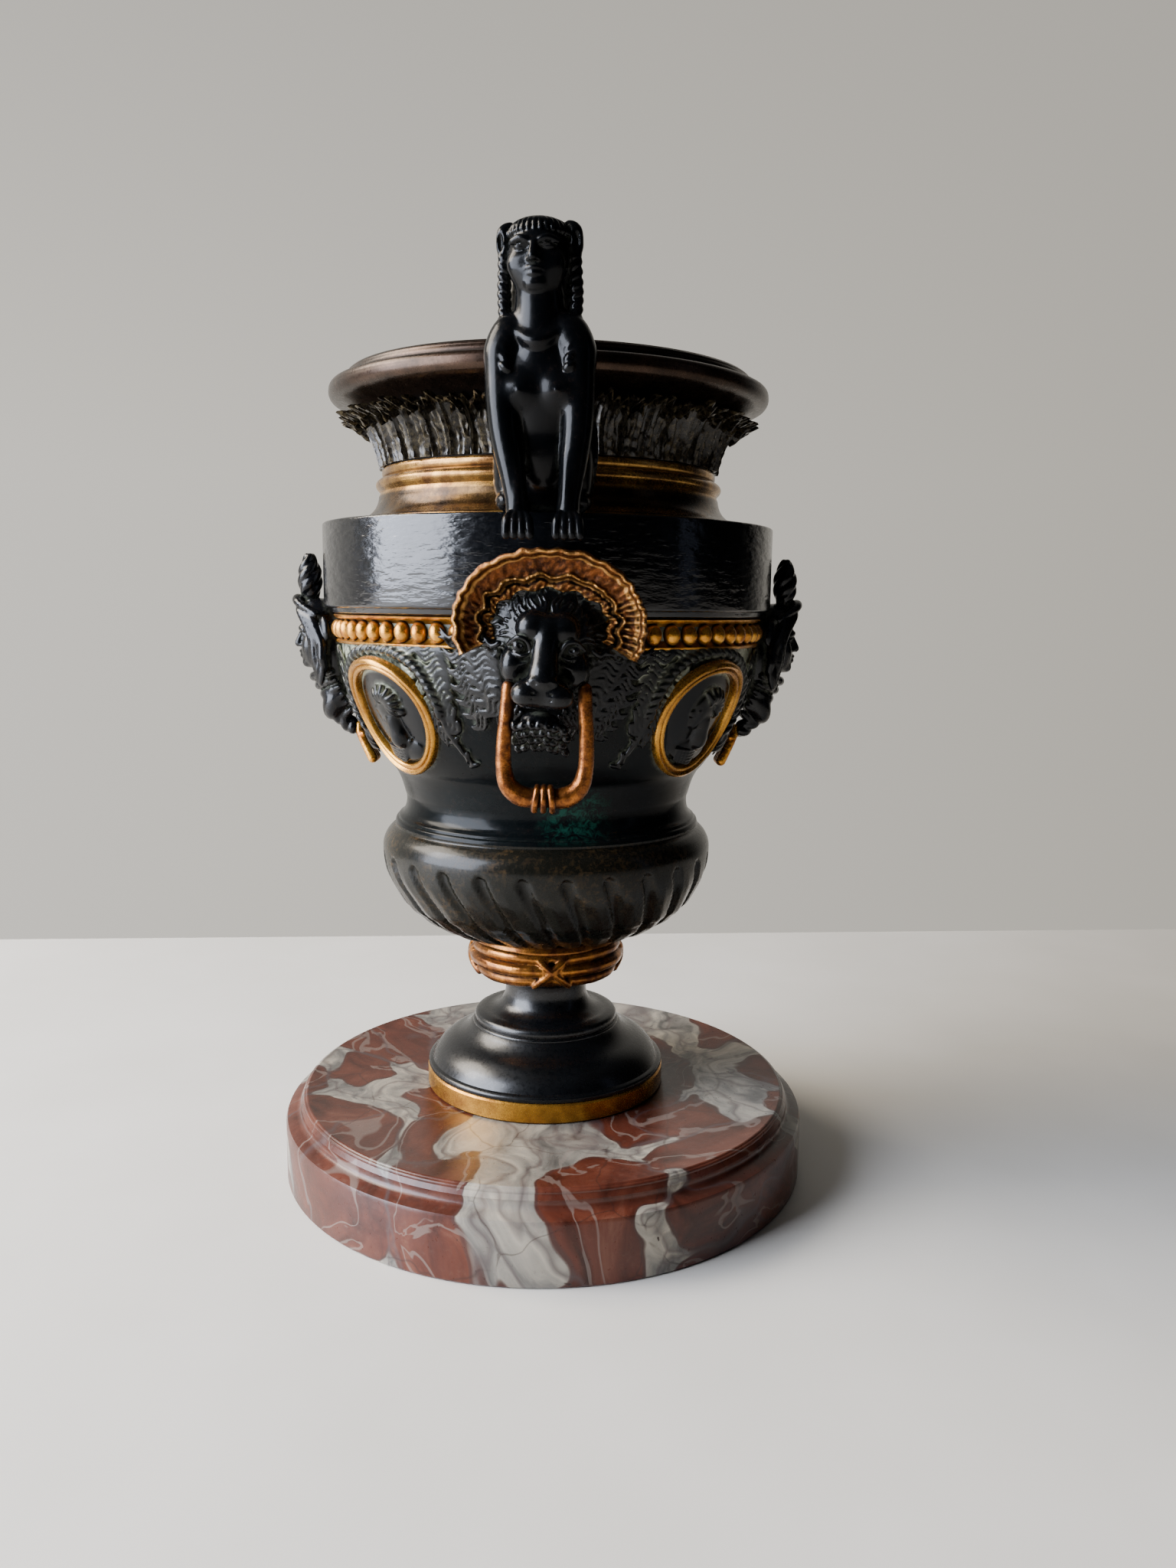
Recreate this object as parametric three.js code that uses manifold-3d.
// A two-handled urn of Medici form in patinated and gilt bronze on a round marble plinth.
// Seated sphinxes form the handles at the front (-Y) and back (+Y). Under each sphinx sits a lion mask
// with a shell hood and a ring, masks of a woman sit at the sides (-X, +X), and four oval medallions
// fill the quarters between. Millimetres, +Z up, origin at the centre of the plinth's underside.
import * as THREE from "three";
import { mergeVertices } from "three/addons/utils/BufferGeometryUtils.js";
import Module from "manifold-3d";

const wasm = await Module();
wasm.setup();

// Heights of the stacked pieces, from the table up.
const plinthHeight = 23.7;
const footRingHeight = 5.8;
const footHeight = 24.5;
const knopHeight = 17;
const bowlHeight = 33.3;
const bodyHeight = 84;
const drumHeight = 22.3;
const collarHeight = 15.2;
const neckHeight = 17;
const rimHeight = 8.6;

// Radii at the places that shape each piece.
const plinthRadius = 77.5;
const plinthEdge = 6.2;
const footRingRadius = 35.6;
const bellRadius = 34.4;
const stepRadius = 21.4;
const stemRadius = 12.2;
const knopRadius = 23.4;
const bowlSeatRadius = 22.4;
const bowlRadius = 48.2;
const bowlLipRadius = 44.6;
const waistRadius = 41.2;
const shoulderRadius = 60.6;
const drumOverhang = 3;
const collarFootRadius = 52.9;
const collarRadius = 46.6;
const flareRadius = 57.6;
const rimRadius = 61.2;
const rimBandRadius = 55.4;

// Walls, seats and small gaps.
const wall = 3.2;
const mouthRadius = 50.4;
const gap = 0.3;
const bedding = 0.7;

// How many flat sides stand for each round. The body's is a multiple of four, so that all faces are alike.
const bodySides = 28;
const collarSides = 24;

// Repeated carving.
const gadroonCount = 26;
const gadroonDepth = 1.4;
const gadroonTwist = 0.26;
const leafCount = 24;
const leafDepth = 2.8;
const beadCount = 68;
const beadHeight = 8.2;
const beadDepth = 3;
const scallopCount = 15;
const scallopDepth = 0.7;
const bindingCount = 4;

// Figures, whose parts are given in hundredths of their height.
const sphinxHeight = 72.6;
const lionHeight = 34;
const maskHeight = 46;

// Applied ornament.
const medallionAzimuth = 47;
const medallionHalfWidth = 16;
const medallionHalfHeight = 17.4;
const medallionInset = 2.3;
const frameWidth = 4;
const frameThickness = 2.4;
const plaqueThickness = 1.2;
const garlandRadius = 1.7;
const garlandStray = 3.4;
const hoodHalfWidth = 24.3;
const hoodHeight = 17.6;
const hoodBand = 8.4;
const hoodFlare = 8.5;
const hoodThickness = 2.2;
const ringHalfWidth = 9.6;
const ringDrop = 24.8;
const ringThickness = 3.6;
const sphinxLean = 1.2;

const bronze = () => new THREE.MeshStandardMaterial({ color: 0x17181b, roughness: 0.35, metalness: 0.7 });
const brown = () => new THREE.MeshStandardMaterial({ color: 0x4a3024, roughness: 0.4, metalness: 0.8 });
const gilt = () => new THREE.MeshStandardMaterial({ color: 0xb87b2a, roughness: 0.35, metalness: 0.9 });
const marble = () => new THREE.MeshStandardMaterial({ color: 0x8a5346, roughness: 0.25, metalness: 0 });

const degrees = THREE.MathUtils.degToRad;
const blendOf = (a, b, t) => a + (b - a) * t;

// Levels of the joints between the stacked pieces.
const footRingBase = plinthHeight;
const footBase = footRingBase + footRingHeight;
const knopBase = footBase + footHeight;
const bowlBase = knopBase + knopHeight;
const bodyBase = bowlBase + bowlHeight;
const drumTop = bodyBase + bodyHeight;
const drumBase = drumTop - drumHeight;
const collarTop = drumTop + collarHeight;
const neckTop = collarTop + neckHeight;
const rimTop = neckTop + rimHeight;
const beadTop = drumBase - 2;
const beadBase = beadTop - beadHeight;
const seatRadius = shoulderRadius - 1.4;
const drumRadius = shoulderRadius + drumOverhang;

// Closes a geometry's seams and drops what has collapsed to a line, so that it is one watertight skin.
function welded(geometry) {
  const bare = geometry.clone();
  bare.deleteAttribute("normal");
  bare.deleteAttribute("uv");
  const merged = mergeVertices(bare, 1e-4);
  const from = merged.index.array;
  const kept = [];
  for (let i = 0; i < from.length; i += 3) {
    const [a, b, c] = [from[i], from[i + 1], from[i + 2]];
    if (a !== b && b !== c && c !== a) kept.push(a, b, c);
  }
  merged.setIndex(kept);
  return merged;
}

function solidOf(geometry) {
  const skin = welded(geometry);
  return new wasm.Manifold(new wasm.Mesh({
    numProp: 3,
    vertProperties: Float32Array.from(skin.attributes.position.array),
    triVerts: Uint32Array.from(skin.index.array),
  }));
}

function geometryOf(solid) {
  const mesh = solid.getMesh();
  const geometry = new THREE.BufferGeometry();
  geometry.setAttribute("position", new THREE.BufferAttribute(Float32Array.from(mesh.vertProperties), 3));
  geometry.setIndex(new THREE.BufferAttribute(Uint32Array.from(mesh.triVerts), 1));
  geometry.computeVertexNormals();
  return geometry;
}

const union = (geometries) => geometries.map(solidOf).reduce((all, one) => all.add(one));

// Moves every vertex of a geometry by a function of its place.
function reshaped(geometry, move) {
  const place = geometry.attributes.position;
  const p = new THREE.Vector3();
  for (let i = 0; i < place.count; i++) {
    p.fromBufferAttribute(place, i);
    move(p);
    place.setXYZ(i, p.x, p.y, p.z);
  }
  return geometry;
}

// A turned solid from [radius, height] pairs that run up the outside from axis to axis.
function turned(profile, sides) {
  const points = profile.map(([r, z]) => new THREE.Vector2(r, z));
  return new THREE.LatheGeometry(points, sides).rotateX(Math.PI / 2);
}

// A turned solid closed down its axis, from an open outline that starts at the bottom.
function turnedSolid(outline, sides) {
  const low = outline[0][1];
  const high = outline[outline.length - 1][1];
  return turned([[0, low], ...outline, [0, high]], sides);
}

// The radius of an outline at a height, between its points.
function radiusAt(outline, z) {
  for (let i = 1; i < outline.length; i++) {
    const [[r0, z0], [r1, z1]] = [outline[i - 1], outline[i]];
    if (z <= z1 && z1 > z0) return blendOf(r0, r1, THREE.MathUtils.clamp((z - z0) / (z1 - z0), 0, 1));
  }
  return outline[outline.length - 1][0];
}

// Carves the ribs of a turned solid: every second column of vertices sinks by depth(z) and turns by twist(z).
function ribbed(geometry, ribs, depth, twist = () => 0) {
  const column = Math.PI / ribs;
  return reshaped(geometry, (p) => {
    const r = Math.hypot(p.x, p.y);
    if (r < 1) return;
    const angle = Math.atan2(p.y, p.x);
    const sunk = Math.abs(Math.round(angle / column)) % 2 ? depth(p.z) : 0;
    const turn = angle + twist(p.z);
    p.x = (r - sunk) * Math.cos(turn);
    p.y = (r - sunk) * Math.sin(turn);
  });
}

// An ellipsoid: centre [x, y, z], half sizes [x, y, z] and an optional lean about X and Z in degrees.
function mass(at, half, { lean = 0, turn = 0, sides = 8, rows = 5 } = {}) {
  return new THREE.SphereGeometry(1, sides, rows)
    .rotateX(Math.PI / 2)
    .scale(...half)
    .rotateX(degrees(lean))
    .rotateZ(degrees(turn))
    .translate(...at);
}

// A limb through stations {at: [x, y, z], half: [across, through]}, with flat ends. A station's bumps are
// [degrees from the front, factor] pairs, which push out or pull in the matching vertices on both sides.
function limb(stations, sides = 6) {
  const rows = stations.length - 1;
  const tube = new THREE.CylinderGeometry(1, 1, 1, sides, rows);
  const at = stations.map((s) => new THREE.Vector3(...s.at));
  const ahead = at.map((_, i) => at[Math.min(i + 1, rows)].clone().sub(at[Math.max(i - 1, 0)]).normalize());
  const span = at[rows].clone().sub(at[0]);
  const level = new THREE.Vector3(1, 0, 0);
  if (Math.abs(span.x) > 0.8 * span.length()) level.set(0, 1, 0);
  const side = new THREE.Vector3();
  const face = new THREE.Vector3();
  return reshaped(tube, (p) => {
    const i = Math.round((0.5 - p.y) * rows);
    side.copy(level).projectOnPlane(ahead[i]).normalize();
    face.crossVectors(ahead[i], side);
    const { half: [across, through], bumps = [] } = stations[i];
    const fromFront = Math.abs(Math.atan2(p.x, -p.z));
    const bump = bumps.find(([angle]) => Math.abs(degrees(angle) - fromFront) < 0.1);
    const swell = bump ? bump[1] : 1;
    p.copy(side.clone().multiplyScalar(p.x * across * swell).addScaledVector(face, p.z * through * swell));
    p.add(at[i]);
  });
}

// The hood's crown is as far under the drum's edge as the sphinx's paws reach down.
const pawReach = 0.109 * sphinxHeight;
const hoodTop = drumTop - pawReach;
const hoodCentre = hoodTop - hoodHeight;

// The outside of the bowl, from its seat on the knop to the lip under the body.
const bowlOutline = [[bowlSeatRadius, 0], [0.72, 0.08], [0.87, 0.24], [0.965, 0.45], [1, 0.78]]
  .map(([share, level], i) => [i ? share * bowlRadius : share, bowlBase + level * bowlHeight])
  .concat([[bowlLipRadius, bodyBase]]);

// The outside of the body: the waist, the swelling that carries the ornament, and the seat of the beads.
const swellingBase = bodyBase + 0.17 * bodyHeight;
const swellingHeight = beadBase - swellingBase;
const swelling = [[0.134, 0], [0.6, 0.49], [0.86, 0.84]]
  .map(([flare, level]) => [blendOf(waistRadius, shoulderRadius, flare), swellingBase + level * swellingHeight]);
const bodyOutline = [
  [bowlLipRadius - 0.6, bodyBase],
  [waistRadius + 0.7, bodyBase + 0.036 * bodyHeight],
  [waistRadius, bodyBase + 0.095 * bodyHeight],
  ...swelling,
  [seatRadius, beadBase],
  [seatRadius, beadTop],
];
const [[waistEdge, waistTop], , [shoulderEdge, shoulderLevel]] = swelling;
const bodySlope = Math.atan2(shoulderEdge - waistEdge, shoulderLevel - waistTop);

const drumOutline = [
  [drumRadius - 1.6, beadTop],
  [drumRadius, drumBase],
  [drumRadius, drumTop],
];

const neckOutline = [[0, 0], [0.18, 0.2], [0.4, 0.55], [1, 0.97]]
  .map(([flare, level]) => [blendOf(collarRadius, flareRadius, flare), collarTop + level * neckHeight]);

const rimOutline = [
  [flareRadius - 1.4, neckTop],
  [rimRadius - 0.4, neckTop + 1.2],
  [rimRadius, neckTop + 3.8],
  [rimBandRadius, neckTop + 6],
  [rimBandRadius, rimTop],
];

const collarOutline = [
  [collarFootRadius, drumTop],
  [collarFootRadius, drumTop + 1.4],
  [blendOf(collarRadius, collarFootRadius, 0.5), drumTop + 5],
  [collarRadius + 1.7, drumTop + 10.8],
  [collarRadius + 0.6, drumTop + 12.6],
  [collarRadius, collarTop],
];

// Everything that the applied ornament may not enter: the whole vase, swollen by the gap.
function envelope() {
  const beadReach = (shoulderRadius + beadDepth / 2) / Math.cos(Math.PI / bodySides);
  const beads = [[shoulderRadius - 3, beadBase], [beadReach, beadBase], [beadReach, beadTop]];
  const swollen = (outline, sides) => {
    const grown = outline.map(([r, z]) => [r + gap, z]);
    grown[0][1] -= gap;
    grown[grown.length - 1][1] += gap;
    return turnedSolid(grown, sides);
  };
  return union([
    swollen(bodyOutline, bodySides),
    swollen(drumOutline, bodySides),
    swollen(beads, bodySides),
    swollen(collarOutline, collarSides),
    swollen([...neckOutline, ...rimOutline], leafCount * 2),
  ]);
}

const vaseEnvelope = envelope();
const vase = new THREE.Group();

// Adds a piece. A facing in degrees turns it about the vase's axis from the front (-Y).
function piece(name, geometry, material, facing = 0) {
  const skin = geometry.index ? geometry : mergeVertices(geometry);
  if (facing) skin.rotateZ(degrees(facing));
  skin.computeVertexNormals();
  const mesh = new THREE.Mesh(skin, material);
  mesh.name = name;
  vase.add(mesh);
  return mesh;
}

function marblePlinth() {
  const round = plinthEdge - 0.9;
  const edge = [0.35, 1].map((t) => degrees(90 * t))
    .map((a) => [plinthRadius - plinthEdge + round * Math.cos(a), plinthHeight - 1.1 - round * (1 - Math.sin(a))]);
  const outline = [
    [plinthRadius, 0],
    [plinthRadius, plinthHeight - 1.1 - round],
    ...edge,
    [plinthRadius - plinthEdge, plinthHeight],
  ];
  return turnedSolid(outline, 32);
}

function footRing() {
  return turnedSolid([[footRingRadius, footRingBase], [footRingRadius, footBase]], 24);
}

function foot() {
  const step = footBase + 14.2;
  return turnedSolid([
    [footRingRadius - 0.2, footBase],
    [footRingRadius - 0.2, footBase + 1.8],
    [bellRadius, footBase + 2.8],
    [blendOf(stepRadius, bellRadius, 0.72), footBase + 7],
    [blendOf(stepRadius, bellRadius, 0.2), footBase + 11],
    [stepRadius, step],
    [blendOf(stemRadius, stepRadius, 0.36), step + 4.8],
    [stemRadius, step + 7.8],
    [stemRadius + 1.4, knopBase],
  ], 24);
}

// A torus of bundled laurel leaves in three rows, pinched where crossed ribbons bind it.
function laurelKnop() {
  const bundle = [
    [stemRadius + 2.4, 0], [0.84, 0.1], [0.96, 0.26], [1, 0.48], [0.94, 0.66], [0.88, 0.74], [0.95, 0.86],
  ].map(([share, level], i) => [i ? share * knopRadius : share, knopBase + level * knopHeight]);
  bundle.push([bowlSeatRadius - 0.6, bowlBase]);
  const shape = turnedSolid(bundle, 24);
  return reshaped(shape, (p) => {
    const r = Math.hypot(p.x, p.y);
    if (r < knopRadius * 0.8) return;
    const pinch = Math.pow(Math.cos((Math.atan2(p.y, p.x) * bindingCount) / 2), 8);
    p.x *= 1 - 0.05 * pinch;
    p.y *= 1 - 0.05 * pinch;
  });
}

// The lower bowl: twisted gadroons outside, a plain hollow inside.
function bowl() {
  const fade = (z) => THREE.MathUtils.smoothstep(z, bowlBase, bowlBase + 3)
    * (1 - THREE.MathUtils.smoothstep(z, bowlBase + 0.46 * bowlHeight, bowlBase + 0.7 * bowlHeight));
  const twist = (z) => gadroonTwist * (1 - (z - bowlBase) / bowlHeight);
  const outside = ribbed(turnedSolid(bowlOutline, gadroonCount * 2), gadroonCount, (z) => gadroonDepth * fade(z), twist);
  const inside = turnedSolid([
    [bowlSeatRadius, bowlBase + wall + 1.4],
    [radiusAt(bowlOutline, bowlBase + 0.3 * bowlHeight) - wall - gadroonDepth, bowlBase + 0.3 * bowlHeight],
    [bowlRadius - wall, bowlBase + 0.66 * bowlHeight],
    [bowlRadius - wall, bowlBase + 0.84 * bowlHeight],
    [bowlLipRadius - wall, bodyBase + 1],
  ], 14);
  return geometryOf(solidOf(outside).subtract(solidOf(inside)));
}

// A garland that hangs on the body beside a medallion, on the lion's side, sunk to half its thickness.
function garland(azimuth) {
  const stations = [];
  const towardLion = Math.abs(azimuth) < 90 ? -Math.sign(azimuth) : Math.sign(azimuth);
  for (let i = 0; i <= 3; i++) {
    const around = degrees(blendOf(58, -38, i / 3));
    const away = garlandRadius + 0.8 + garlandStray * (i / 3);
    const across = towardLion * (medallionHalfWidth + away) * Math.cos(around);
    const up = (medallionHalfHeight + away) * Math.sin(around);
    const place = new THREE.Vector3(across, up, 0);
    wrapped(place, azimuth, -garlandRadius / 4);
    stations.push({ at: place.toArray(), half: [garlandRadius, garlandRadius] });
  }
  return limb(stations, 3);
}

function body() {
  const outside = turnedSolid(bodyOutline, bodySides);
  const inside = turnedSolid([
    [waistRadius - wall, bodyBase - 1],
    [waistRadius - wall, bodyBase + 9],
    [seatRadius - wall, beadBase + 2],
    [seatRadius - wall, beadTop + 1],
  ], 16);
  const garlands = quarters().map((azimuth) => garland(azimuth));
  return geometryOf(union([outside, ...garlands]).subtract(solidOf(inside)));
}

// The drum: a short hollow cylinder whose top turns in to the collar's foot as a flat ledge.
function drum() {
  return turned([
    [seatRadius - wall, beadTop],
    ...drumOutline,
    [collarRadius - wall, drumTop],
    [collarRadius - wall, drumTop - wall],
    [drumRadius - wall, drumTop - wall],
    [drumRadius - wall, drumBase + 2],
    [seatRadius - wall, beadTop],
  ], bodySides);
}

// The bead ring in its seat under the drum: one crest and one valley for each bead.
function beadBand() {
  const inner = seatRadius + gap;
  const outer = shoulderRadius + beadDepth / 2;
  const middle = beadBase + 0.56 * beadHeight;
  const ring = [
    [inner, beadBase],
    [outer, middle],
    [inner, beadBase + beadHeight],
    [inner, beadBase],
  ];
  return ribbed(turned(ring, beadCount * 2), beadCount, (z) => (Math.abs(z - middle) < 0.01 ? 1.3 : 0));
}

function neckCollar() {
  const inner = collarRadius - wall;
  return turned([[inner, drumTop], ...collarOutline, [inner, collarTop], [inner, drumTop]], collarSides);
}

// The flaring neck with its upright leaves, and the moulded rim cast in one with it.
function neckAndRim() {
  const rise = (z) => (z - collarTop) / neckHeight;
  const depth = (z) => (z < neckTop ? leafDepth * (0.3 + 0.7 * rise(z)) : 0);
  const outside = ribbed(turnedSolid([...neckOutline, ...rimOutline], leafCount * 2), leafCount, depth);
  const inside = turnedSolid([
    [collarRadius - wall, collarTop - 1],
    [collarRadius - wall, collarTop + 2],
    [radiusAt(neckOutline, collarTop + 0.7 * neckHeight) - wall - leafDepth, collarTop + 0.7 * neckHeight],
    [mouthRadius, neckTop + 2],
    [mouthRadius, rimTop + 1],
  ], 16);
  return geometryOf(solidOf(outside).subtract(solidOf(inside)));
}

// The four azimuths of the medallions, in degrees from the front.
function quarters() {
  return [-medallionAzimuth, medallionAzimuth, 180 - medallionAzimuth, 180 + medallionAzimuth];
}

// Lays a flat place (across, up, out) on the swelling of the body round an azimuth.
const medallionLevel = beadBase - medallionInset - medallionHalfHeight * Math.cos(bodySlope);
function wrapped(p, azimuth, lift) {
  const z = medallionLevel + p.y * Math.cos(bodySlope);
  const reach = radiusAt(bodyOutline, Math.min(z, beadBase)) + lift + p.z;
  const turn = degrees(azimuth - 90) + p.x / radiusAt(bodyOutline, medallionLevel);
  p.set(reach * Math.cos(turn), reach * Math.sin(turn), z - p.z * Math.sin(bodySlope));
}

function medallionFrame(azimuth) {
  const inner = 1 - frameWidth / medallionHalfWidth;
  const crest = blendOf(inner, 1, 0.35);
  const section = [[inner, 0], [1, 0], [crest, frameThickness], [inner, 0]];
  const ring = turned(section, 16).scale(medallionHalfWidth, medallionHalfHeight, 1);
  return reshaped(ring, (p) => wrapped(p, azimuth, bedding));
}

// The plaque with a head in low relief, turned in profile.
function medallionPlaque(azimuth) {
  const fit = 1 - frameWidth / medallionHalfWidth - gap / medallionHalfWidth - 0.01;
  const disc = turnedSolid([[fit, 0], [fit, plaqueThickness]], 12);
  disc.scale(medallionHalfWidth, medallionHalfHeight, 1);
  const bust = [
    { at: [0, -0.56 * medallionHalfHeight, plaqueThickness], half: [6, 1.1] },
    { at: [0.4, -0.28 * medallionHalfHeight, plaqueThickness], half: [2.6, 1.3] },
    { at: [0, 0.1 * medallionHalfHeight, plaqueThickness], half: [4.2, 1.7] },
    { at: [-0.4, 0.42 * medallionHalfHeight, plaqueThickness], half: [2.4, 1] },
  ];
  const relief = union([disc, limb(bust, 4)]);
  return reshaped(geometryOf(relief), (p) => wrapped(p, azimuth, bedding));
}

// The sphinx handle, sitting on the drum's ledge with its back to the rim and its forepaws on the hood.
// Its parts are in hundredths of its height, from the middle of the drum's top edge in front of it.
function sphinx() {
  const parts = [
    limb([
      { at: [0, 6.5, 0.4], half: [15.7, 6.9] },
      { at: [0, 5.7, 11], half: [17.9, 9.1], bumps: [[0, 0.8]] },
      { at: [0, 2.7, 20.7], half: [15.2, 9.6] },
      { at: [0, -2.3, 25.9], half: [12.1, 9.6] },
      { at: [0, -3.9, 36.1], half: [13.2, 9.6], bumps: [[30, 1.34]] },
      { at: [0, -4.7, 45.2], half: [15.7, 9.1] },
      { at: [0, -4.7, 52.1], half: [10.2, 6.9] },
      { at: [0, -5, 57.6], half: [6.2, 6.1] },
      { at: [0, -6.1, 66.7], half: [7.2, 8.3] },
      { at: [0, -6.9, 74.4], half: [8.8, 9.1], bumps: [[0, 1.24], [60, 0.82]] },
      { at: [0, -6.6, 80.4], half: [9.4, 9.4] },
      { at: [0, -6.3, 85.4], half: [7.7, 8.3] },
      { at: [0, -6.1, 88.7], half: [4.1, 4.7] },
    ], 12),
    limb([
      { at: [13.8, 8.7, 5.5], half: [1.7, 1.7] },
      { at: [17.4, 6, 19.3], half: [1.4, 1.4] },
      { at: [12.4, -0.1, 24.8], half: [1.9, 1.9] },
    ], 4),
  ];
  for (const s of [-1, 1]) {
    parts.push(
      limb([
        { at: [s * 9.6, -5.4, 86], half: [2, 3.4] },
        { at: [s * 10.6, -6.1, 77.2], half: [3, 4.2] },
        { at: [s * 10.2, -7, 64.4], half: [2.6, 2.6] },
        { at: [s * 11, -9.8, 46], half: [2.8, 2.6] },
      ], 4),
      limb([
        { at: [s * 11.8, -4.7, 46.6], half: [4.1, 4.7] },
        { at: [s * 12.1, -6.9, 36.9], half: [4.4, 5.8] },
        { at: [s * 11, -8.8, 17.9], half: [4.1, 4.5] },
        { at: [s * 9, -10.5, 0], half: [3, 3.2] },
        { at: [s * 8.8, -10.5, -7.2], half: [3.9, 3.9] },
      ], 5),
      mass([s * 8.8, -11.6, -6.7], [5.9, 6.9, 3.8], { sides: 6, rows: 3 }),
    );
  }
  const figure = leaning(geometryOf(union(parts)), sphinxLean);
  return set(figure, sphinxHeight, drumRadius, drumTop).subtract(vaseEnvelope);
}

// Brings a figure from hundredths of its height to its size and place in front of the vase.
function set(figure, height, reach, level) {
  return solidOf(figure.scale(height / 100, height / 100, height / 100).translate(0, -reach, level));
}

// Turns a piece clockwise in its own face, round its origin.
function leaning(geometry, angle) {
  return geometry.rotateY(degrees(-angle));
}

// The shell hood: a fluted dish behind the lion's head, open below and flaring forward at its edge.
function shellHood() {
  const turns = scallopCount * 2;
  const dish = new THREE.BoxGeometry(1, 1, 1, turns, 1, 1);
  reshaped(dish, (p) => {
    const t = p.x + 0.5;
    const across = p.y + 0.5;
    const around = degrees(blendOf(-24, 204, t));
    const crest = Math.round(t * turns) % 2 ? 1 : 0;
    const outerWave = scallopDepth * crest * across;
    const halfWidth = hoodHalfWidth - hoodBand * (1 - across) - outerWave;
    const halfHeight = hoodHeight - hoodBand * (1 - across) - outerWave;
    const face = drumRadius + 0.8 + hoodFlare * Math.pow(across, 1.6) - 1.1 * crest * across;
    const reach = face + (p.z < 0 ? hoodThickness : 0);
    const x = halfWidth * Math.cos(around);
    const bend = x / reach;
    p.set(reach * Math.sin(bend), -reach * Math.cos(bend), hoodCentre + halfHeight * Math.sin(around));
  });
  return dish;
}

// The ring, or with a swell the space to keep clear for it.
const ringMouth = hoodCentre - 0.5 * lionHeight;
const ringReach = drumRadius + 1.6;
function ringHandle(swell = 0) {
  const half = (share) => [(ringThickness / 2) * share + swell, (ringThickness / 2) * share + swell];
  const bend = ringDrop * 0.48;
  const stations = [{ at: [-ringHalfWidth, -ringReach, ringMouth + swell * 4], half: half(0.95) }];
  const steps = 8;
  for (let i = 0; i <= steps; i++) {
    const around = Math.PI * (1 + i / steps);
    const thick = blendOf(1, 1.3, Math.sin((Math.PI * i) / steps));
    stations.push({
      at: [ringHalfWidth * 1.04 * Math.cos(around), -ringReach, ringMouth - ringDrop + bend * (1 + Math.sin(around))],
      half: half(thick),
    });
  }
  stations.push({ at: [ringHalfWidth, -ringReach, ringMouth + swell * 4], half: half(0.95) });
  const clasp = [0.94, 0.85, 0.9].map((share) => share * ringThickness);
  return union([limb(stations, 5), mass([0, -ringReach, ringMouth - ringDrop], clasp, { sides: 6, rows: 3 })]);
}

// The lion's head in high relief, with a mane of locks that lies on the body.
function lionMask() {
  const locks = [180, 128.57, 77.14, 25.71].map((angle) => [angle, 0.86]);
  const head = union([
    limb([
      { at: [0, 26.5, -28.2], half: [44.1, 52.9] },
      { at: [0, 5.9, -26.8], half: [51.8, 57.6], bumps: locks },
      { at: [0, -7.1, -20.6], half: [41.2, 45.9], bumps: locks },
      { at: [0, -14.1, -21.2], half: [27.6, 33.5] },
      { at: [0, -22.4, -32.9], half: [18.8, 22.4] },
      { at: [0, -32.4, -38.8], half: [16.5, 13.5] },
      { at: [0, -36.5, -38.2], half: [10.6, 7.6] },
    ], 14),
    mass([0, -10, -65.3], [14.7, 17.6, 12.9], { sides: 5, rows: 3 }),
    mass([-14.4, -12.9, 0], [11.2, 8.8, 7.6], { sides: 4, rows: 3 }),
    mass([14.4, -12.9, 0], [11.2, 8.8, 7.6], { sides: 4, rows: 3 }),
  ]);
  return union([geometryOf(set(geometryOf(head), lionHeight, drumRadius, hoodCentre)), maneLock(-1), maneLock(1)]);
}

// A lock of the mane that sweeps out over the body to one side and curls up at its end.
function maneLock(s) {
  const unit = lionHeight / 100;
  const stations = [0, 0.5, 1].map((t) => {
    const z = hoodCentre - unit * (43 + 15 * Math.sin(Math.PI * t) - 9 * t);
    const turn = (s * unit * blendOf(30, 80, t)) / drumRadius;
    const r = radiusAt(bodyOutline, z) + 2 * unit;
    return { at: [r * Math.sin(turn), -r * Math.cos(turn), z], half: [unit * (10 - 6 * t), unit * (9 - 3 * t)] };
  });
  return limb(stations, 4);
}

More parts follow.
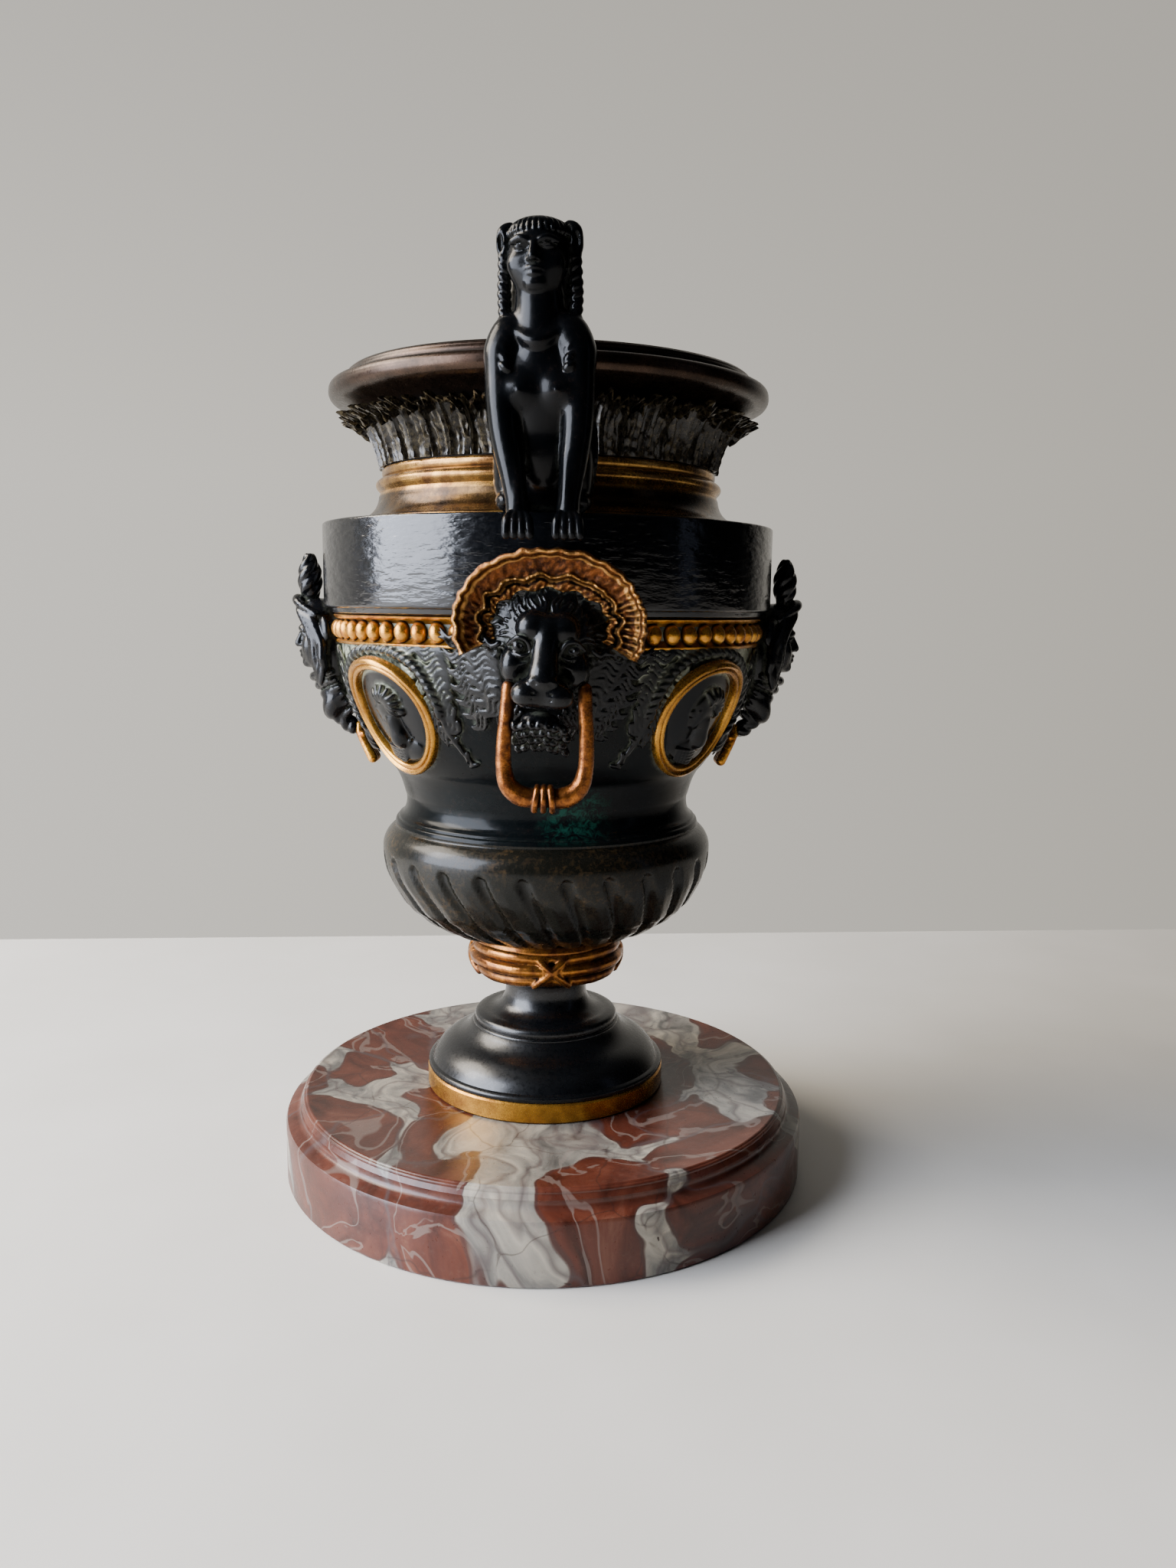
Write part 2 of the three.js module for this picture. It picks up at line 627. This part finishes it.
// The side mask: a woman's head with a knot of hair over the brow, falling locks and a drape under the chin.
function sideMask() {
  const tresses = [150, 90, 30].map((angle) => [angle, 0.86]);
  const head = [
    limb([
      { at: [0, 15.2, -8.7], half: [21.7, 39.1] },
      { at: [0, -3.5, -2.2], half: [29.6, 42.6], bumps: tresses },
      { at: [0, -11.7, 3.5], half: [26.1, 33.5], bumps: tresses },
      { at: [0, -18.7, 3], half: [16.5, 24.8] },
      { at: [0, -22.6, 3.5], half: [9.1, 16.1] },
      { at: [0, -26.1, -0.9], half: [2.6, 5.2] },
    ], 12),
    limb([
      { at: [0, -3.3, -30.4], half: [15.2, 10.9] },
      { at: [0, 7.4, -49], half: [10.9, 8.7] },
    ], 6),
    mass([-4.8, -12.2, 40.9], [6.5, 6.1, 14.8], { sides: 5, rows: 3 }),
    mass([4.8, -12.2, 40.9], [6.5, 6.1, 14.8], { sides: 5, rows: 3 }),
  ];
  return set(geometryOf(union(head)), maskHeight, shoulderRadius, beadBase).subtract(vaseEnvelope);
}

// The gilt tassel that ends the ribbon under a side mask, just clear of the mask's drape.
function ribbonDrop() {
  const level = beadBase - 0.49 * maskHeight - gap;
  const unit = maskHeight / 100;
  const station = (drop, across, through) => {
    const z = level - drop * unit;
    return { at: [0, -radiusAt(bodyOutline, z) - gap - through * unit, z], half: [across * unit, through * unit] };
  };
  return limb([station(1, 3.4, 3.4), station(6, 4.8, 4.4), station(19, 7.8, 5.4)], 7);
}

piece("marble_plinth", marblePlinth(), marble());
piece("foot_ring", footRing(), gilt());
piece("foot", foot(), bronze());
piece("laurel_knop", laurelKnop(), gilt());
piece("bowl", bowl(), bronze());
piece("body", body(), bronze());
piece("drum", drum(), bronze());
piece("bead_band", beadBand(), gilt());
piece("neck_collar", neckCollar(), gilt());
piece("neck_and_rim", neckAndRim(), brown());

quarters().forEach((azimuth, i) => {
  piece(`medallion_frame_${i + 1}`, medallionFrame(azimuth), gilt());
  piece(`medallion_${i + 1}`, medallionPlaque(azimuth), bronze());
});

const hood = solidOf(shellHood()).subtract(vaseEnvelope);
const ring = geometryOf(ringHandle());
const lion = geometryOf(
  lionMask().subtract(vaseEnvelope).subtract(ringHandle(gap))
    .subtract(hood.translate([0, -gap, 0])).subtract(hood),
);
for (const [name, facing] of [["front", 0], ["back", 180]]) {
  piece(`sphinx_${name}`, geometryOf(sphinx()), bronze(), facing);
  piece(`shell_hood_${name}`, geometryOf(hood), gilt(), facing);
  piece(`lion_mask_${name}`, lion.clone(), bronze(), facing);
  piece(`ring_handle_${name}`, ring.clone(), gilt(), facing);
}
for (const [name, facing] of [["right", 90], ["left", 270]]) {
  piece(`side_mask_${name}`, geometryOf(sideMask()), bronze(), facing);
  piece(`ribbon_drop_${name}`, ribbonDrop(), gilt(), facing);
}

export default vase;
